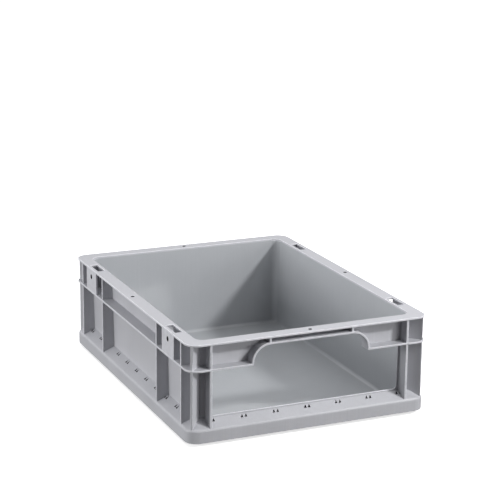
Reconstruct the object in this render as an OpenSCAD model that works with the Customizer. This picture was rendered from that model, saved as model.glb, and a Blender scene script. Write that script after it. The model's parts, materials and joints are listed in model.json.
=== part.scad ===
// Rigid stacking container on the 400 x 300 footprint, 120 high, with a pick opening
// cut through one short side.
//
// Millimetres. X runs along the short sides, Y along the long sides, Z is up.
// The origin is on the ground under the middle of the crate. The opening faces -Y.
// The real crate is one injection moulding. It is divided here into its regions:
// floor, base skirts, corner columns, walls, flanges, grip ledges, lid catches and rim.
// Neighbouring regions touch face to face and do not overlap.

/* [Overall size] */
// Outside width along the short sides
crate_w = 300; // [280:5:400]
// Outside depth along the long sides
crate_d = 400; // [380:5:600]
// Outside height
crate_h = 120; // [110:1:220]
// Radius of the outside vertical corners
corner_r = 15; // [8:1:18]

/* [Rim and walls] */
// Width of the flat rim, from the outside to the cavity
rim_w = 16.5; // [14:0.5:18]
// Thickness of the rim plate
rim_t = 2.4; // [1.8:0.1:4]
// Thickness of the walls
wall_t = 2.1; // [1.6:0.1:3]
// How far the walls lean inwards from the rim down to the floor
wall_draft = 2.5; // [1:0.1:4]
// Radius of the cavity corners, at the rim
cavity_r = 10; // [6:0.5:12]
// Thickness of the floor
floor_t = 2.5; // [2:0.1:4]
// Fillet between floor and walls
floor_fillet = 4; // [2:0.5:6]
// Diameter of the hole through the middle of each rim bar
rim_hole_d = 4.4; // [2:0.1:6]
// Distance from the outside to the middle of that hole
rim_hole_inset = 7.5; // [5:0.5:11]

/* [Base] */
// Height of the skirt's lower edge above the ground
skirt_z = 4.5; // [3:0.5:6]
// Height where the upright band turns into the slope
band_top_z = 17.5; // [14:0.5:20]
// Angle of the slope above the band, in degrees
slope_a = 24; // [15:1:35]
// Radius of the shoulder between band and slope
shoulder_r = 4; // [2:0.5:6]
// Inset of the foot that drops into the rim of a crate below
foot_inset = 17.2; // [17:0.1:19]

/* [Flange and ribs] */
// Underside height of the middle flange
flange_z = 87.8; // [60:0.1:100]
// Thickness of the flange and of the grip ledge
flange_t = 2.4; // [1.8:0.1:4]
// Thickness of the upright ribs
rib_t = 2.8; // [2:0.1:4]
// Distance from the middle of a short side to its ribs
short_rib_x = 122.8; // [100:0.1:124]
// Distance from the middle of a long side to its inner ribs
long_rib_in = 95.3; // [70:0.1:110]
// Distance from the middle of a long side to its outer ribs
long_rib_out = 172.1; // [150:0.1:173]
// Thickness of the diagonal rib on each corner
diagonal_rib_t = 3; // [2:0.1:4]

/* [Pick opening and grips] */
// Half the width of the pick opening
opening_half = 118.5; // [80:0.5:119]
// Height of the sill under the pick opening
sill_z = 29.5; // [28:0.5:45]
// Radius of the lower corners of the pick opening
opening_r = 4; // [1:0.5:8]
// Half the width of the straight part of the grip ledge
grip_half = 51.5; // [40:0.5:60]
// Radius of the quarter arcs under the grip ledge
grip_r = 20; // [15:0.5:22]

/* [Lid catches] */
// Distance from the middle of a long side to the middle of a catch
catch_y = 134.6; // [120:0.1:140]
// Width of a catch plate
catch_w = 36.8; // [30:0.1:40]
// Thickness of a catch plate
catch_t = 2.4; // [1.6:0.1:3]
// Length of the pocket through the rim
pocket_l = 29.4; // [20:0.1:34]
// Width of the pocket through the rim
pocket_w = 8.5; // [6:0.1:10]
// Diameter of the round hole in a catch plate
catch_hole_d = 5.8; // [3:0.1:8]
// Height of the middle of that hole
catch_hole_z = 109; // [100:0.5:111]

/* [Drain slots] */
// Distance between pairs of slots on the long sides
long_pitch = 33.2; // [25:0.1:40]
// Distance between pairs of slots on the short sides
short_pitch = 39.5; // [30:0.1:45]
// Width of one triangular slot
slot_w = 3.4; // [1.5:0.1:4]
// Length of one triangular slot, up the slope
slot_l = 5.4; // [3:0.1:6]
// How far the point of a slot leans sideways from its middle
slot_lean = 2; // [0:0.1:2.4]
// Distance between the two slots of a pair
slot_gap = 4.8; // [4:0.1:6]
// Distance from the outside to the middle of a slot
slot_inset = 12.9; // [11:0.1:13.3]

/* [Hidden] */
$fn = 96;
// inset of the centres of the cavity corners
c = rim_w + cavity_r;
rim_z = crate_h - rim_t;
run = crate_h - floor_t;
flange_top = flange_z + flange_t;
mid_x = crate_w / 2 - c;
mid_y = crate_d / 2 - c;
end_a = 90 + slope_a;
rib_step = 4;
steps = 6;
shoulder_in_r = shoulder_r - 2.2;
slope_reach = corner_r + 6.5;
// inset of a catch plate from the outside face
catch_inset = 0.3;
// pairs of slots on each side of the middle
short_count = 3;
long_count = 5;

// insets of the two wall faces at height z
function wall_in(z) = rim_w + wall_draft * (crate_h - z) / run;
function wall_out(z) = wall_in(z) - wall_t;
function wall_mid(z) = wall_in(z) - wall_t / 2;

// the shoulder and slope, as [inset, height]
function arc_a(i) = 180 - (180 - end_a) * i / steps;
function shoulder(i) = [
    shoulder_r + shoulder_r * cos(arc_a(i)),
    band_top_z + shoulder_r * sin(arc_a(i))
];
function shoulder_in(i) = [
    shoulder_r + shoulder_in_r * cos(arc_a(i)),
    band_top_z + shoulder_in_r * sin(arc_a(i))
];
function slope(u) = shoulder(steps)[1] + (u - shoulder(steps)[0]) * tan(slope_a);
function slope_in(u) = shoulder_in(steps)[1] + (u - shoulder_in(steps)[0]) * tan(slope_a);

// where the slope meets the leaning wall
lean = wall_draft / run;
meet_u = (wall_out(shoulder(steps)[1]) + lean * shoulder(steps)[0] * tan(slope_a))
    / (1 + lean * tan(slope_a));
meet_in_u = (wall_out(shoulder_in(steps)[1]) + lean * shoulder_in(steps)[0] * tan(slope_a))
    / (1 + lean * tan(slope_a));
rib_inset = shoulder(rib_step)[0];

function skirt_points(u_top, u_low) = concat(
    [[0, skirt_z]],
    [for (i = [0:steps]) shoulder(i)],
    [[u_top, slope(u_top)], [u_low, slope_in(u_low)]],
    [for (i = [steps:-1:0]) shoulder_in(i)],
    [[shoulder_r - shoulder_in_r, skirt_z]]
);

// outer and inner outline of a wall, from foot to z_top
fillet_u = wall_in(floor_t) + floor_fillet;
function fillet_point(a) = [
    fillet_u - floor_fillet * cos(a),
    floor_t + floor_fillet - floor_fillet * sin(a)
];
function wall_points(z_top) = concat(
    [[foot_inset, 0], [foot_inset, skirt_z], [wall_out(skirt_z), skirt_z]],
    [[wall_out(z_top), z_top], [wall_in(z_top), z_top]],
    [[wall_in(floor_t + floor_fillet), floor_t + floor_fillet]],
    [for (a = [15:15:90]) fillet_point(a)],
    [[fillet_u, 0]]
);
function rib_low_points() = concat(
    [for (i = [rib_step:steps]) shoulder(i)],
    [[meet_u, slope(meet_u)], [wall_mid(slope(meet_u)), slope(meet_u)]],
    [[wall_mid(flange_z), flange_z], [rib_inset, flange_z]]
);
function rib_high_points() = [
    [rib_inset, flange_top],
    [wall_mid(flange_top), flange_top],
    [wall_mid(rim_z), rim_z],
    [rib_inset, rim_z]
];

// Frames: x along the side, y inwards from the outside face
module on_front() {
    translate([0, -crate_d / 2, 0]) children();
}
module on_back() {
    mirror([0, 1, 0]) on_front() children();
}
module on_left() {
    rotate([0, 0, -90]) translate([0, -crate_w / 2, 0]) children();
}
module on_right() {
    mirror([1, 0, 0]) on_left() children();
}
module at_corner(right, back) {
    mirror([right, 0, 0])
        mirror([0, back, 0])
            translate([-crate_w / 2, -crate_d / 2, 0]) children();
}

// a bar of constant section, centred at x = at
module bar(length, at = 0) {
    translate([at, 0, 0])
        rotate([90, 0, 90])
            linear_extrude(height = length, center = true) children();
}

module rib_pair(at) {
    bar(rib_t, at) polygon(rib_low_points());
    bar(rib_t, at) polygon(rib_high_points());
}

module slot(at, lean) {
    translate([at, slot_inset, slope(slot_inset)])
        rotate([slope_a, 0, 0])
            translate([0, 0, -6])
                linear_extrude(height = 12)
                    polygon([[-slot_w / 2, -slot_l / 2], [slot_w / 2, -slot_l / 2], [lean, slot_l / 2]]);
}

module slot_pair(at, lean) {
    for (s = [-1, 1]) slot(at + s * slot_gap / 2, lean);
}

// one base skirt, as a straight bar with its drain slots
module skirt(length, pitch, count, lean) {
    difference() {
        bar(length) polygon(skirt_points(meet_u, meet_in_u));
        for (i = [-count:count]) slot_pair(i * pitch, lean);
    }
}

module long_wall() {
    bar(2 * mid_y) polygon(wall_points(rim_z));
    for (y = [-long_rib_out, -long_rib_in, long_rib_in, long_rib_out]) rib_pair(y);
}

module mid_flange(length) {
    bar(length) polygon([
        [0, flange_z],
        [wall_out(flange_z), flange_z],
        [wall_out(flange_top), flange_top],
        [0, flange_top]
    ]);
}

// everything below the under edge of the ledge, seen from the front
module grip_void(r, z_edge) {
    translate([-grip_half, z_edge - 40]) square([2 * grip_half, 20 + r + flange_z + 2.2 - z_edge + 20]);
    for (s = [-1, 1]) translate([s * grip_half, flange_z + 2.2]) circle(r);
    translate([-grip_half - r, z_edge - 40]) square([2 * (grip_half + r), 40 - z_edge + flange_z + 2.2]);
}

// the ledge as a ribbon: flange, quarter arc, lip, quarter arc, flange
module ledge_outline() {
    difference() {
        union() {
            grip_void(grip_r + flange_t, flange_z);
            translate([-mid_x, flange_z]) square([2 * mid_x, flange_t]);
        }
        grip_void(grip_r, flange_z - 5);
        translate([-mid_x, flange_z - 60]) square([2 * mid_x, 60]);
    }
}

module wall_slab() {
    bar(2 * mid_x + 2) polygon([
        [wall_out(60), 60],
        [wall_out(crate_h), crate_h],
        [40, crate_h],
        [40, 60]
    ]);
}

module grip_ledge() {
    difference() {
        rotate([90, 0, 0])
            translate([0, 0, -30])
                linear_extrude(height = 30 - 0.8) ledge_outline();
        wall_slab();
    }
}

module grip_webs() {
    for (s = [-1, 1])
        bar(flange_t, s * grip_half) polygon([
            [rib_inset, flange_z + 2.2 + grip_r + flange_t],
            [wall_mid(rim_z), flange_z + 2.2 + grip_r + flange_t],
            [wall_mid(rim_z), rim_z],
            [rib_inset, rim_z]
        ]);
}

module rim_bar(length) {
    translate([-length / 2, 0, rim_z]) cube([length, rim_w, rim_t]);
}

module rim_hole() {
    translate([0, rim_hole_inset, rim_z - 1]) cylinder(d = rim_hole_d, h = rim_t + 2);
}

module long_rim() {
    difference() {
        rim_bar(2 * mid_y);
        for (s = [-1, 1])
            translate([s * (catch_y - 0.9) - pocket_l / 2, 4.5, rim_z - 1])
                cube([pocket_l, pocket_w, rim_t + 2]);
        rim_hole();
    }
}

module short_rim() {
    difference() {
        rim_bar(2 * mid_x);
        rim_hole();
    }
}

// Corner column, drawn for the corner at x = 0, y = 0 with x and y running inwards
module corner_outline() {
    intersection() {
        square([c, c]);
        union() {
            translate([corner_r, 0]) square([c, c]);
            translate([0, corner_r]) square([c, c]);
            translate([corner_r, corner_r]) circle(corner_r);
        }
    }
}

module corner_plate(z, t, r) {
    translate([0, 0, z])
        linear_extrude(height = t)
            difference() {
                corner_outline();
                translate([c, c]) circle(r);
            }
}

module turned_corner(at) {
    translate([at, at, 0])
        rotate([0, 0, 180])
            rotate_extrude(angle = 90) children();
}

module corner_skirt() {
    difference() {
        union() {
            turned_corner(corner_r)
                polygon([for (p = skirt_points(corner_r, corner_r)) [corner_r - p[0], p[1]]]);
            difference() {
                translate([0, corner_r, 0])
                    mirror([0, 1, 0])
                        rotate([90, 0, 0])
                            linear_extrude(height = c - corner_r)
                                polygon(skirt_points(slope_reach, slope_reach));
                translate([0, 0, -1])
                    linear_extrude(height = 60) polygon([[0, 0], [60, 0], [60, 60]]);
            }
            difference() {
                translate([corner_r, 0, 0])
                    rotate([90, 0, 90])
                        linear_extrude(height = c - corner_r)
                            polygon(skirt_points(slope_reach, slope_reach));
                translate([0, 0, -1])
                    linear_extrude(height = 60) polygon([[0, 0], [0, 60], [60, 60]]);
            }
        }
        translate([c, c, 0])
            cylinder(r1 = c - wall_mid(0), r2 = c - wall_mid(60), h = 60);
    }
}

module diagonal_rib() {
    root2 = sqrt(2);
    start = corner_r * (root2 - 1);
    inner = c * root2 - cavity_r - 0.8;
    rotate([0, 0, 45])
        rotate([90, 0, 0])
            linear_extrude(height = diagonal_rib_t, center = true)
                polygon(concat(
                    [for (i = [rib_step:steps]) [start + shoulder(i)[0], shoulder(i)[1] - 1]],
                    [[corner_r * root2, slope(corner_r) - 1]],
                    [[inner, slope(inner / root2) - 1], [inner, rim_z], [start + rib_inset, rim_z]]
                ));
}

module corner_column(right, back) {
    at_corner(right, back) {
        turned_corner(c)
            polygon([for (p = wall_points(rim_z)) [c - p[0], p[1]]]);
        corner_plate(rim_z, rim_t, cavity_r);
        corner_plate(flange_z, flange_t, c - wall_mid(flange_z));
        corner_skirt();
        diagonal_rib();
    }
}

// a lid catch: an upright plate under the outside edge of a rim pocket, with an end wall
// on the side of the nearer corner
module lid_catch(at) {
    bar(catch_t, at + sign(at) * (catch_w - catch_t) / 2) polygon([
        [catch_inset, flange_top],
        [catch_inset, rim_z],
        [wall_out(rim_z), rim_z],
        [wall_out(flange_top), flange_top]
    ]);
    difference() {
        translate([at - catch_w / 2, catch_inset, flange_top])
            cube([catch_w, catch_t, rim_z - flange_top]);
        translate([at, 0, catch_hole_z])
            rotate([-90, 0, 0])
                cylinder(d = catch_hole_d, h = 10, center = true);
    }
}

// Nodes

module floor_panel() {
    color([0.62, 0.63, 0.65])
        linear_extrude(height = floor_t) {
            r = c - fillet_u;
            x = crate_w / 2 - fillet_u;
            y = crate_d / 2 - fillet_u;
            translate([-x + r, -y]) square([2 * (x - r), 2 * y]);
            translate([-x, -y + r]) square([2 * x, 2 * (y - r)]);
            for (sx = [-1, 1], sy = [-1, 1]) translate([sx * (x - r), sy * (y - r)]) circle(r);
        }
}

module base_skirt_front() {
    color([0.74, 0.74, 0.77]) on_front() skirt(2 * mid_x, short_pitch, short_count, slot_lean);
}

module base_skirt_back() {
    color([0.74, 0.74, 0.77]) on_back() skirt(2 * mid_x, short_pitch, short_count, slot_lean);
}

module base_skirt_left() {
    color([0.72, 0.72, 0.75]) on_left() skirt(2 * mid_y, long_pitch, long_count, -slot_lean);
}

module base_skirt_right() {
    color([0.72, 0.72, 0.75]) on_right() skirt(2 * mid_y, long_pitch, long_count, -slot_lean);
}

module corner_column_front_left() {
    color([0.69, 0.69, 0.72]) corner_column(0, 0);
}

module corner_column_front_right() {
    color([0.69, 0.69, 0.72]) corner_column(1, 0);
}

module corner_column_back_left() {
    color([0.69, 0.69, 0.72]) corner_column(0, 1);
}

module corner_column_back_right() {
    color([0.69, 0.69, 0.72]) corner_column(1, 1);
}

module side_wall_left() {
    color([0.66, 0.67, 0.69]) on_left() long_wall();
}

module side_wall_right() {
    color([0.66, 0.67, 0.69]) on_right() long_wall();
}

module back_wall() {
    color([0.65, 0.66, 0.68])
        on_back() {
            bar(2 * mid_x) polygon(wall_points(rim_z));
            for (s = [-1, 1]) rib_pair(s * short_rib_x);
            grip_webs();
        }
}

module front_sill() {
    color([0.66, 0.67, 0.69]) on_front() bar(2 * mid_x) polygon(wall_points(sill_z));
}

// the wall's section between two heights
module wall_strip(z_low, z_top) {
    polygon([
        [wall_out(z_low), z_low],
        [wall_out(z_top), z_top],
        [wall_in(z_top), z_top],
        [wall_in(z_low), z_low]
    ]);
}

// the rounded lower corner of the pick opening
module opening_corner(s) {
    difference() {
        bar(opening_r, s * (opening_half - opening_r / 2)) wall_strip(sill_z, sill_z + opening_r);
        translate([s * (opening_half - opening_r), 0, sill_z + opening_r])
            rotate([-90, 0, 0]) cylinder(r = opening_r, h = 40);
    }
}

module front_jamb(s) {
    w = mid_x - opening_half;
    on_front() {
        bar(w, s * (opening_half + w / 2)) wall_strip(sill_z, rim_z);
        opening_corner(s);
        difference() {
            rib_pair(s * short_rib_x);
            bar(20, s * short_rib_x) polygon([
                [wall_out(0), 0],
                [wall_out(sill_z), sill_z],
                [40, sill_z],
                [40, 0]
            ]);
        }
    }
}

module front_jamb_left() {
    color([0.67, 0.68, 0.70]) front_jamb(-1);
}

module front_jamb_right() {
    color([0.67, 0.68, 0.70]) front_jamb(1);
}

module front_header() {
    color([0.66, 0.67, 0.69])
        on_front() {
            difference() {
                bar(2 * opening_half) wall_strip(flange_z, rim_z);
                rotate([90, 0, 0])
                    translate([0, 0, -30])
                        linear_extrude(height = 30) grip_void(grip_r, flange_z - 5);
            }
            grip_webs();
        }
}

module grip_ledge_front() {
    color([0.78, 0.78, 0.80]) on_front() grip_ledge();
}

module grip_ledge_back() {
    color([0.78, 0.78, 0.80]) on_back() grip_ledge();
}

module mid_flange_left() {
    color([0.78, 0.78, 0.80]) on_left() mid_flange(2 * mid_y);
}

module mid_flange_right() {
    color([0.78, 0.78, 0.80]) on_right() mid_flange(2 * mid_y);
}

module lid_catch_left_front() {
    color([0.71, 0.71, 0.74]) on_left() lid_catch(catch_y);
}

module lid_catch_left_back() {
    color([0.71, 0.71, 0.74]) on_left() lid_catch(-catch_y);
}

module lid_catch_right_front() {
    color([0.71, 0.71, 0.74]) on_right() lid_catch(catch_y);
}

module lid_catch_right_back() {
    color([0.71, 0.71, 0.74]) on_right() lid_catch(-catch_y);
}

module rim_front() {
    color([0.80, 0.80, 0.82]) on_front() short_rim();
}

module rim_back() {
    color([0.80, 0.80, 0.82]) on_back() short_rim();
}

module rim_left() {
    color([0.80, 0.80, 0.82]) on_left() long_rim();
}

module rim_right() {
    color([0.80, 0.80, 0.82]) on_right() long_rim();
}

floor_panel();
base_skirt_front();
base_skirt_back();
base_skirt_left();
base_skirt_right();
corner_column_front_left();
corner_column_front_right();
corner_column_back_left();
corner_column_back_right();
side_wall_left();
side_wall_right();
back_wall();
front_sill();
front_jamb_left();
front_jamb_right();
front_header();
grip_ledge_front();
grip_ledge_back();
mid_flange_left();
mid_flange_right();
lid_catch_left_front();
lid_catch_left_back();
lid_catch_right_front();
lid_catch_right_back();
rim_front();
rim_back();
rim_left();
rim_right();
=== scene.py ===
import json
import math

import bmesh
import bpy
from mathutils import Matrix, Vector
from mathutils.bvhtree import BVHTree


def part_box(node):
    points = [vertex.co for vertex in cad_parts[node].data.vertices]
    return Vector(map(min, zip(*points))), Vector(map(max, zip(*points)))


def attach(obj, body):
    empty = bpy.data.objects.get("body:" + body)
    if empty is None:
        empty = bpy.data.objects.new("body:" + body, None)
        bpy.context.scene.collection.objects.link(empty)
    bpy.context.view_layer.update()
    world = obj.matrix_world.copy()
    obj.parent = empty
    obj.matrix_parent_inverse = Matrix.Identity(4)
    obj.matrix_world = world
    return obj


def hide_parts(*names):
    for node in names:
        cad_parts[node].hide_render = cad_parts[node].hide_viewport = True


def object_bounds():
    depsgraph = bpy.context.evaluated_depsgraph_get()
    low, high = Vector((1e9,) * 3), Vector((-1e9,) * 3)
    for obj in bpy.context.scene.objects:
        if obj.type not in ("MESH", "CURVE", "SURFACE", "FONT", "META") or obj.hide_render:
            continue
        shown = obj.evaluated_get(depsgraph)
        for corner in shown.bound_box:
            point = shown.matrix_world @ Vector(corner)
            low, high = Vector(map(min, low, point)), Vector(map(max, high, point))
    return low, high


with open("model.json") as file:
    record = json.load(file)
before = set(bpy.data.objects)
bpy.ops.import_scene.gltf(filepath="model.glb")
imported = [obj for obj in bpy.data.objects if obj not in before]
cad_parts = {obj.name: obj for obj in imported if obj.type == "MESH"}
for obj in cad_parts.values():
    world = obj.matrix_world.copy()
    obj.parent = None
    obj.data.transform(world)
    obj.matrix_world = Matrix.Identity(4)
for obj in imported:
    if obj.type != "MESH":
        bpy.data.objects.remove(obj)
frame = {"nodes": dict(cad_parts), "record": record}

CAD_BOX = [list(v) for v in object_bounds()]
MM = 0.001
HALF_X, HALF_Y = CAD_BOX[1][0], CAD_BOX[1][1]

# ---------------------------------------------------------------- camera

CAM_PLACE = Vector((-0.77325, -1.75853, 0.68730))
CAM_YAW, CAM_PITCH, CAM_ROLL = -0.4193, 0.2662, 0.0113
SENSOR = 36.0
LENS_PER_WIDTH = 3.2532


def make_camera():
    forward = Vector((
        -math.sin(CAM_YAW) * math.cos(CAM_PITCH),
        math.cos(CAM_YAW) * math.cos(CAM_PITCH),
        -math.sin(CAM_PITCH),
    ))
    right = Vector((math.cos(CAM_YAW), math.sin(CAM_YAW), 0.0))
    up = right.cross(forward)
    x_axis = right * math.cos(CAM_ROLL) + up * math.sin(CAM_ROLL)
    y_axis = up * math.cos(CAM_ROLL) - right * math.sin(CAM_ROLL)
    data = bpy.data.cameras.new("camera")
    data.sensor_width = SENSOR
    data.lens = SENSOR * LENS_PER_WIDTH
    cam = bpy.data.objects.new("camera", data)
    turn = Matrix((x_axis, y_axis, -forward)).transposed().to_4x4()
    cam.matrix_world = Matrix.Translation(CAM_PLACE) @ turn
    bpy.context.scene.collection.objects.link(cam)
    bpy.context.scene.camera = cam


make_camera()

# ---------------------------------------------------------------- materials


def new_material(name):
    mat = bpy.data.materials.new(name)
    mat.use_nodes = True
    tree = mat.node_tree
    tree.nodes.clear()
    out = tree.nodes.new("ShaderNodeOutputMaterial")
    shader = tree.nodes.new("ShaderNodeBsdfPrincipled")
    tree.links.new(shader.outputs[0], out.inputs[0])
    return mat, tree, shader


def noise(tree, vector, scale, detail=3.0, rough=0.55):
    n = tree.nodes.new("ShaderNodeTexNoise")
    n.inputs["Scale"].default_value = scale
    n.inputs["Detail"].default_value = detail
    n.inputs["Roughness"].default_value = rough
    tree.links.new(vector, n.inputs["Vector"])
    return n.outputs["Fac"]


def remap(tree, value, a, b, lo=0.0, hi=1.0):
    m = tree.nodes.new("ShaderNodeMapRange")
    m.inputs["From Min"].default_value = a
    m.inputs["From Max"].default_value = b
    m.inputs["To Min"].default_value = lo
    m.inputs["To Max"].default_value = hi
    tree.links.new(value, m.inputs["Value"])
    return m.outputs["Result"]


def stretched(tree, coord, scale):
    m = tree.nodes.new("ShaderNodeMapping")
    m.inputs["Scale"].default_value = scale
    tree.links.new(coord, m.inputs["Vector"])
    return m.outputs["Vector"]


def math_node(tree, op, a, b):
    m = tree.nodes.new("ShaderNodeMath")
    m.operation = op
    for socket, v in zip(m.inputs, (a, b)):
        if isinstance(v, (int, float)):
            socket.default_value = v
        else:
            tree.links.new(v, socket)
    return m.outputs[0]


def mix_colour(tree, fac, a, b):
    m = tree.nodes.new("ShaderNodeMix")
    m.data_type = "RGBA"
    tree.links.new(fac, m.inputs["Factor"])
    for socket, v in ((m.inputs[6], a), (m.inputs[7], b)):
        if isinstance(v, tuple):
            socket.default_value = (*v, 1.0)
        else:
            tree.links.new(v, socket)
    return m.outputs[2]


def bump(tree, height, distance, strength, below=None):
    n = tree.nodes.new("ShaderNodeBump")
    n.inputs["Distance"].default_value = distance
    n.inputs["Strength"].default_value = strength
    tree.links.new(height, n.inputs["Height"])
    if below is not None:
        tree.links.new(below, n.inputs["Normal"])
    return n.outputs["Normal"]


def attribute(tree, name):
    n = tree.nodes.new("ShaderNodeAttribute")
    n.attribute_name = name
    return n.outputs["Fac"]


IOR = 1.49
# edges and proud faces are drawn this much lighter: partly wear, partly a painted highlight
EDGE_WEAR_AND_HIGHLIGHT_LIFT = 1.45
SCUFF_LIFT = 1.25
# near black painted shade on the sides of the slots and holes
PAINTED_SHADE_COLOUR = (0.02, 0.02, 0.022)
CLOUD, SPECK, GRAIN, WAVE, RUB_AND_HIGHLIGHT, PATCH = 22.0, 1400.0, 2600.0, 14.0, 160.0, 9.0
DRAG = (420.0, 420.0, 9.0)
SCUFF_ALONG_X = (60.0, 1100.0, 240.0)
SCUFF_ALONG_Y = (1000.0, 50.0, 300.0)


def brighter(colour, by):
    return tuple(min(0.9, by * v) for v in colour)


def scuff_mask(tree, coord):
    """Fine scratches along both sides of the crate, in patches."""
    lines_a = noise(tree, stretched(tree, coord, SCUFF_ALONG_X), 1.0, 2.0, 0.4)
    lines_b = noise(tree, stretched(tree, coord, SCUFF_ALONG_Y), 1.0, 2.0, 0.4)
    lines_a, lines_b = (remap(tree, lines, 0.66, 0.78) for lines in (lines_a, lines_b))
    lines = math_node(tree, "MAXIMUM", lines_a, lines_b)
    patch = remap(tree, noise(tree, coord, PATCH, 2.0), 0.48, 0.68)
    return math_node(tree, "MULTIPLY", lines, patch)


def weighted(tree, *pairs):
    """The sum of each value times its weight."""
    total = None
    for value, weight in pairs:
        part = math_node(tree, "MULTIPLY", value, weight)
        total = part if total is None else math_node(tree, "ADD", total, part)
    return total


def plastic(name, light, dark, rough, grain, wave, streak, scuffs, shine):
    """Moulded polypropylene.

    Cloudy colour, fine grain, slow waviness, upright drag marks from the mould, scuffs in patches,
    edges lighter and smoother (wear, and a painted highlight), and painted shade in slots and holes.
    """
    mat, tree, shader = new_material(name)
    coord = tree.nodes.new("ShaderNodeTexCoord").outputs["Object"]
    cloud = noise(tree, coord, CLOUD, 4.0)
    speck = noise(tree, coord, SPECK, 2.0)
    drag = noise(tree, stretched(tree, coord, DRAG), 1.0, 3.0, 0.65)
    tone = weighted(tree, (cloud, 0.45), (drag, 0.40), (speck, 0.15))
    base = mix_colour(tree, remap(tree, tone, 0.37, 0.63), dark, light)
    scuff = math_node(tree, "MULTIPLY", scuff_mask(tree, coord), scuffs)
    base = mix_colour(tree, scuff, base, brighter(light, SCUFF_LIFT))
    # edges lighter in patches: partly wear, partly a painted highlight
    rub_and_highlight_patches = remap(tree, noise(tree, coord, RUB_AND_HIGHLIGHT, 2.0), 0.30, 0.62, 0.55, 1.0)
    rub_and_highlight = math_node(tree, "MULTIPLY", attribute(tree, "edge"), rub_and_highlight_patches)
    base = mix_colour(tree, rub_and_highlight, base, brighter(light, EDGE_WEAR_AND_HIGHLIGHT_LIFT))
    # painted shade: the sides of slots and holes near black
    base = mix_colour(tree, attribute(tree, "painted_shade"), base, PAINTED_SHADE_COLOUR)
    tree.links.new(base, shader.inputs["Base Color"])
    gloss = remap(tree, weighted(tree, (cloud, 0.55), (drag, 0.45)), 0.36, 0.64, *rough)
    gloss = math_node(tree, "ADD", gloss, weighted(tree, (scuff, 0.3), (rub_and_highlight, -0.06)))
    tree.links.new(gloss, shader.inputs["Roughness"])
    slow = bump(tree, noise(tree, coord, WAVE, 1.0), 1.6 * MM, wave)
    upright = bump(tree, drag, 0.08 * MM, streak, slow)
    fine = bump(tree, noise(tree, coord, GRAIN, 2.0), 0.05 * MM, grain, upright)
    tree.links.new(fine, shader.inputs["Normal"])
    shader.inputs["IOR"].default_value = IOR
    shader.inputs["Specular IOR Level"].default_value = shine
    return mat


OUTER = plastic(
    "pp_outer", (0.520, 0.522, 0.552), (0.470, 0.474, 0.502), rough=(0.36, 0.52),
    grain=0.5, wave=0.10, streak=0.5, scuffs=0.20, shine=0.45,
)
# the cavity's copy: glossier, and darker than the outside as painted shade
INNER_SHADED = plastic(
    "pp_inner_painted_shade", (0.472, 0.486, 0.506), (0.450, 0.464, 0.484), rough=(0.07, 0.13),
    grain=0.08, wave=0.14, streak=0.06, scuffs=0.15, shine=0.5,
)
# the rim's copy: rougher, and lighter than the outside as a painted highlight on the top
RIM_LIT = plastic(
    "pp_rim_painted_highlight", (0.565, 0.565, 0.596), (0.530, 0.532, 0.561), rough=(0.52, 0.66),
    grain=0.8, wave=0.08, streak=0.0, scuffs=0.25, shine=0.3,
)

# ---------------------------------------------------------------- skins

NODES = frame["nodes"]
WELD = 1e-6
BOX_MARGIN = 1e-5
# a skew direction, so that its rays seldom meet an edge
PROBE = Vector((0.3713, 0.5571, 0.7428)).normalized()
PROBE_STEP, MOST_HITS = 1e-6, 64
# how far into a face, and off it, the air is tested
TEST_IN, TEST_OFF = 0.2 * MM, 0.04 * MM
FLAT_TURN, EDGE_TURN, SMOOTH_TURN = (math.radians(v) for v in (0.3, 28.0, 31.0))
SMOOTH_LIMIT = math.cos(SMOOTH_TURN)
EDGE_ROUND = 0.55 * MM
EDGE_SEGMENTS = 3
# the bevel marks its faces with this material index
EDGE_INDEX = 2
SHORT_EDGE, INNER_CORNER, SLOT_EDGE = 0.3 * MM, 10 * MM, 7.5 * MM
# proud faces: above this height, within this depth of the outside, with this share of the edges' wear
# and painted highlight
PROUD_FROM, PROUD_DEPTH, PROUD_WEAR_AND_HIGHLIGHT = 28 * MM, 3.5 * MM, 0.55
# the bands where the slot and hole sides get painted shade
SLOT_FROM, SLOT_TO, SLOT_FLOOR = 9.5 * MM, 16.5 * MM, 21.5 * MM
HOLE_DEPTH, HOLE_LIP = 3.0 * MM, 0.7 * MM
BORES = [
    (Vector(m["pos_m"]), Vector(m["axis"]), m["dims"]["r_mm"] * MM)
    for m in frame["record"]["mounts"] if m["kind"] == "bore"
]
# where the straight regions meet the corner columns
SEAM_X, SEAM_Y = 123.5 * MM, 173.5 * MM
SEAM_TOL, SEAM_LEAN = 2e-6, 0.15
KEYS_PER_METRE = 2e5
RIM_FROM = CAD_BOX[1][2] - 2.6 * MM
# nearest and furthest places of the cavity's walls, its rim side and its floor
CAVITY_X, CAVITY_Y = (120 * MM, 134.2 * MM), (170 * MM, 184.2 * MM)
CAVITY_TOP, CAVITY_FLOOR = 118 * MM, 8 * MM


def welded(node):
    bm = bmesh.new()
    bm.from_mesh(NODES[node].data)
    bmesh.ops.remove_doubles(bm, verts=bm.verts, dist=WELD)
    return bm


def grown_box(node, by):
    lo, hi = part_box(node)
    return Vector(lo) - Vector((by, by, by)), Vector(hi) + Vector((by, by, by))


def solid_of(node):
    """The sharp-edged solid as a search tree, with its box."""
    bm = welded(node)
    tree = BVHTree.FromBMesh(bm)
    bm.free()
    return (tree, *grown_box(node, BOX_MARGIN))


SOLIDS = {name: solid_of(name) for name in NODES}


def inside(tree, p):
    """Whether a skew ray from the point crosses the solid's surface an odd number of times."""
    hits, start = 0, p.copy()
    while hits < MOST_HITS:
        place = tree.ray_cast(start, PROBE)[0]
        if place is None:
            break
        hits += 1
        start = place + PROBE * PROBE_STEP
    return hits % 2 == 1


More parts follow.
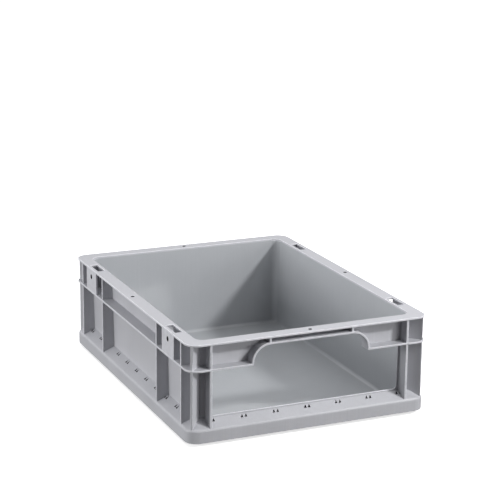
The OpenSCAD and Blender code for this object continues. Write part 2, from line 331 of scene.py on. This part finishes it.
def covered(p, own):
    """Whether the point lies inside another node's solid."""
    for name, (tree, lo, hi) in SOLIDS.items():
        if name == own:
            continue
        if all(lo[i] <= p[i] <= hi[i] for i in range(3)) and inside(tree, p):
            return True
    return False


def face_open(loop, own):
    """Whether the face is open to the air beside this edge."""
    a, b = loop.vert.co, loop.link_loop_next.vert.co
    along = (b - a).normalized()
    normal = loop.face.normal
    inwards = normal.cross(along)
    free = 0
    for t in (0.1, 0.5, 0.9):
        p = a.lerp(b, t) + inwards * TEST_IN + normal * TEST_OFF
        free += not covered(p, own)
    return free >= 2


def is_proud(poly):
    """The narrow outermost faces of ribs, flanges, ledges and rim, drawn lighter: wear and a painted
    highlight.
    """
    c, n = poly.center, poly.normal
    if c.z < PROUD_FROM or abs(n.z) > 0.2:
        return False
    return abs(c.x) > HALF_X - PROUD_DEPTH or abs(c.y) > HALF_Y - PROUD_DEPTH


def is_slot_side(node, poly):
    """The sides of the drain slots, which get near black painted shade."""
    if not node.startswith("base_skirt"):
        return False
    c, n = poly.center, poly.normal
    inset = min(HALF_X - abs(c.x), HALF_Y - abs(c.y))
    along_x = "front" in node or "back" in node
    length_way = abs(n.x) if along_x else abs(n.y)
    across = n.y * c.y if along_x else n.x * c.x
    in_band = SLOT_FROM < inset < SLOT_TO and c.z > SLOT_FLOOR
    return in_band and (length_way > 0.5 or (n.z < 0.5 and across < 0))


def is_hole_side(poly):
    """The sides and the rounded lips of the small round holes, which get near black painted shade."""
    for place, axis, radius in BORES:
        offset = poly.center - place
        depth = offset.dot(axis)
        close = abs(depth) < HOLE_DEPTH and (offset - axis * depth).length < radius + HOLE_LIP
        if close and abs(poly.normal.dot(axis)) < 0.95:
            return True
    return False


def mark_faces(mesh, node):
    """Writes each face's wear and painted highlight, and its painted shade.

    Rounded outside edges lie inside the sharp-edged solid, and rounded inside ones don't.
    """
    solid = SOLIDS[node][0]
    wear_and_highlight, painted_shade = [], []
    for p in mesh.polygons:
        # slot and hole sides: painted shade, and no edge highlight
        hidden = is_slot_side(node, p) or is_hole_side(p)
        rounded = p.material_index == EDGE_INDEX and inside(solid, p.center)
        # rounded outside edges get the full wear and painted highlight, proud faces a share of it
        wear_and_highlight.append(0.0 if hidden else 1.0 if rounded else PROUD_WEAR_AND_HIGHLIGHT * is_proud(p))
        painted_shade.append(1.0 if hidden else 0.0)
    mesh.attributes.new("edge", "FLOAT", "FACE").data.foreach_set("value", wear_and_highlight)
    mesh.attributes.new("painted_shade", "FLOAT", "FACE").data.foreach_set("value", painted_shade)


def rounded_copy(node):
    """The node's solid with its open edges rounded.

    Short inside corners and the edges of the drain slots, the only short ones on a skirt, stay sharp.
    """
    bm = welded(node)
    bmesh.ops.dissolve_limit(bm, angle_limit=FLAT_TURN, verts=bm.verts, edges=bm.edges)
    bm.normal_update()
    weight = bm.edges.layers.float.new("bevel_weight_edge")
    for e in bm.edges:
        if len(e.link_faces) != 2:
            continue
        turn = e.calc_face_angle_signed(0.0)
        if abs(turn) < EDGE_TURN:
            continue
        if turn < 0 and e.calc_length() < INNER_CORNER:
            continue
        if node.startswith("base_skirt") and e.calc_length() < SLOT_EDGE:
            continue
        if all(face_open(loop, node) for loop in e.link_loops):
            e[weight] = 1.0 if e.calc_length() > SHORT_EDGE else 0.5
    mesh = bpy.data.meshes.new(node + "_body")
    bm.to_mesh(mesh)
    bm.free()
    for mat in (OUTER, INNER_SHADED, RIM_LIT):
        mesh.materials.append(mat)
    mesh.polygons.foreach_set("material_index", [0] * len(mesh.polygons))
    piece = bpy.data.objects.new("tmp", mesh)
    bpy.context.scene.collection.objects.link(piece)
    mod = piece.modifiers.new("round", "BEVEL")
    mod.limit_method = "WEIGHT"
    mod.width = EDGE_ROUND
    mod.segments = EDGE_SEGMENTS
    mod.use_clamp_overlap = False
    mod.material = EDGE_INDEX
    mod.loop_slide = True
    bpy.context.view_layer.update()
    final = bpy.data.meshes.new_from_object(piece.evaluated_get(bpy.context.evaluated_depsgraph_get()))
    bpy.data.objects.remove(piece)
    bpy.data.meshes.remove(mesh)
    mark_faces(final, node)
    return final


def on_seam(co):
    """Whether the point lies on a join across X, and on one across Y."""
    return abs(abs(co.x) - SEAM_X) < SEAM_TOL, abs(abs(co.y) - SEAM_Y) < SEAM_TOL


def place_key(co):
    """The same key for points of different pieces that meet."""
    return tuple(round(v * KEYS_PER_METRE) for v in co)


def smooth_normal(poly, co, around):
    """The mean of the faces round a point that turn gently away from this one."""
    total = Vector()
    for n, area in around:
        if n.dot(poly.normal) > SMOOTH_LIMIT:
            total += n * area
    seam_x, seam_y = on_seam(co)
    if seam_x and abs(total.x) < SEAM_LEAN * total.length:
        total.x = 0.0
    if seam_y and abs(total.y) < SEAM_LEAN * total.length:
        total.y = 0.0
    return total.normalized() if total.length > 0 else poly.normal


def weld_normals(meshes):
    """Smooth normals shared by all pieces, so that the joins between regions don't show."""
    shared = {}
    for mesh in meshes.values():
        for poly in mesh.polygons:
            for v in poly.vertices:
                key = place_key(mesh.vertices[v].co)
                shared.setdefault(key, []).append((poly.normal.copy(), poly.area))
    for mesh in meshes.values():
        normals = [None] * len(mesh.loops)
        for poly in mesh.polygons:
            for li in poly.loop_indices:
                co = mesh.vertices[mesh.loops[li].vertex_index].co
                normals[li] = smooth_normal(poly, co, shared[place_key(co)])
        mesh.polygons.foreach_set("use_smooth", [True] * len(mesh.polygons))
        mesh.normals_split_custom_set([tuple(n) for n in normals])


def is_cavity_side(poly):
    """Faces that look into the cavity or are the floor."""
    c, n = poly.center, poly.normal
    if abs(c.x) > CAVITY_X[1] or abs(c.y) > CAVITY_Y[1] or c.z > CAVITY_TOP:
        return False
    if n.z > 0.5:
        return c.z < CAVITY_FLOOR
    faces_in_x = n.x * c.x < 0 and abs(c.x) > CAVITY_X[0]
    faces_in_y = n.y * c.y < 0 and abs(c.y) > CAVITY_Y[0]
    return faces_in_x or faces_in_y


def region(poly):
    """The index of the face's material: rim (lighter, a painted highlight), cavity (darker, painted
    shade) or outside.
    """
    if poly.center.z > RIM_FROM:
        return 2
    return 1 if is_cavity_side(poly) else 0


def build_skins():
    meshes = {name: rounded_copy(name) for name in NODES}
    weld_normals(meshes)
    for name, mesh in meshes.items():
        mesh.polygons.foreach_set("material_index", [region(poly) for poly in mesh.polygons])
        mesh.name = name + "_body"
        piece = bpy.data.objects.new(name + "_body", mesh)
        bpy.context.scene.collection.objects.link(piece)
        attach(piece, "root")
        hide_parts(name)


build_skins()

# ---------------------------------------------------------------- floor, light


FLOOR_HALF = 12.0
# the stage lies a little under the crate's foot, one sheet below another
FLOOR_Z, SHADE_Z, BOUNCE_Z = -0.2 * MM, -0.3 * MM, -0.4 * MM
FLOOR_WHITE, FLOOR_GLOW, BOUNCE_GLOW = 0.9, 0.70, 0.09


def stage_material(name, white, rough, shine, glow):
    mat, tree, shader = new_material(name)
    shader.inputs["Base Color"].default_value = (white, white, white, 1.0)
    shader.inputs["Roughness"].default_value = rough
    shader.inputs["Specular IOR Level"].default_value = shine
    shader.inputs["Emission Color"].default_value = (1.0, 1.0, 1.0, 1.0)
    shader.inputs["Emission Strength"].default_value = glow
    return mat


def stage_plane(name, half_x, half_y, z, mat):
    mesh = bpy.data.meshes.new(name)
    corners = [(-half_x, -half_y, 0), (half_x, -half_y, 0), (half_x, half_y, 0), (-half_x, half_y, 0)]
    mesh.from_pydata(corners, [], [(0, 1, 2, 3)])
    mesh.materials.append(mat)
    plane = bpy.data.objects.new(name, mesh)
    plane.location.z = z
    bpy.context.scene.collection.objects.link(plane)
    return plane


def make_floor():
    """The white floor that is seen, which throws no light back."""
    mat = stage_material("studio_white", FLOOR_WHITE, 0.9, 0.1, FLOOR_GLOW)
    floor = stage_plane("studio_floor", FLOOR_HALF, FLOOR_HALF, FLOOR_Z, mat)
    floor.visible_diffuse = False
    floor.visible_glossy = False


def make_bounce():
    """What the floor throws back: a dim glow, and nothing from under the crate."""
    for name, half_x, half_y, z, glow in (
        ("studio_bounce", FLOOR_HALF, FLOOR_HALF, BOUNCE_Z, BOUNCE_GLOW),
        ("studio_shade", HALF_X, HALF_Y, SHADE_Z, 0.0),
    ):
        plane = stage_plane(name, half_x, half_y, z, stage_material(name, 0.0, 0.5, 0.0, glow))
        plane.visible_camera = False


def area_light(name, place, target, side_x, side_y, power):
    data = bpy.data.lights.new(name, "AREA")
    data.shape = "RECTANGLE"
    data.size, data.size_y = side_x, side_y
    data.energy = power
    light = bpy.data.objects.new(name, data)
    light.location = place
    light.rotation_euler = (Vector(target) - Vector(place)).to_track_quat("-Z", "Y").to_euler()
    bpy.context.scene.collection.objects.link(light)


BACKDROP_SIDE = Vector((-0.30, 0.85, 0.42)).normalized()
BACKDROP_COLOUR = (0.97, 0.98, 1.0, 1.0)


def make_world(low, high):
    """A plain studio, from a dim near side to a bright backdrop behind and above."""
    world = bpy.data.worlds.new("studio")
    bpy.context.scene.world = world
    world.use_nodes = True
    tree = world.node_tree
    back = tree.nodes["Background"]
    coord = tree.nodes.new("ShaderNodeTexCoord").outputs["Generated"]
    towards = tree.nodes.new("ShaderNodeVectorMath")
    towards.operation = "DOT_PRODUCT"
    tree.links.new(coord, towards.inputs[0])
    towards.inputs[1].default_value = BACKDROP_SIDE
    back.inputs[0].default_value = BACKDROP_COLOUR
    tree.links.new(remap(tree, towards.outputs["Value"], 0.1, 0.9, low, high), back.inputs[1])


MIDDLE = (0.0, 0.0, 0.05)

make_floor()
make_bounce()
make_world(0.10, 0.88)
area_light("top_box", (-0.1, 0.3, 2.2), (0.0, 0.0, 0.0), 1.8, 1.8, 10.0)
area_light("left_box", (-2.4, 0.1, 0.42), MIDDLE, 0.9, 0.9, 34.0)
area_light("key_box", (1.30, -1.50, 1.42), MIDDLE, 0.22, 0.22, 33.0)
area_light("high_key", (0.9, -1.3, 1.9), MIDDLE, 0.9, 0.9, 7.0)
area_light("front_fill", (1.1, -2.2, 0.45), MIDDLE, 1.2, 0.7, 17.0)

bpy.context.scene.view_settings.view_transform = "Standard"
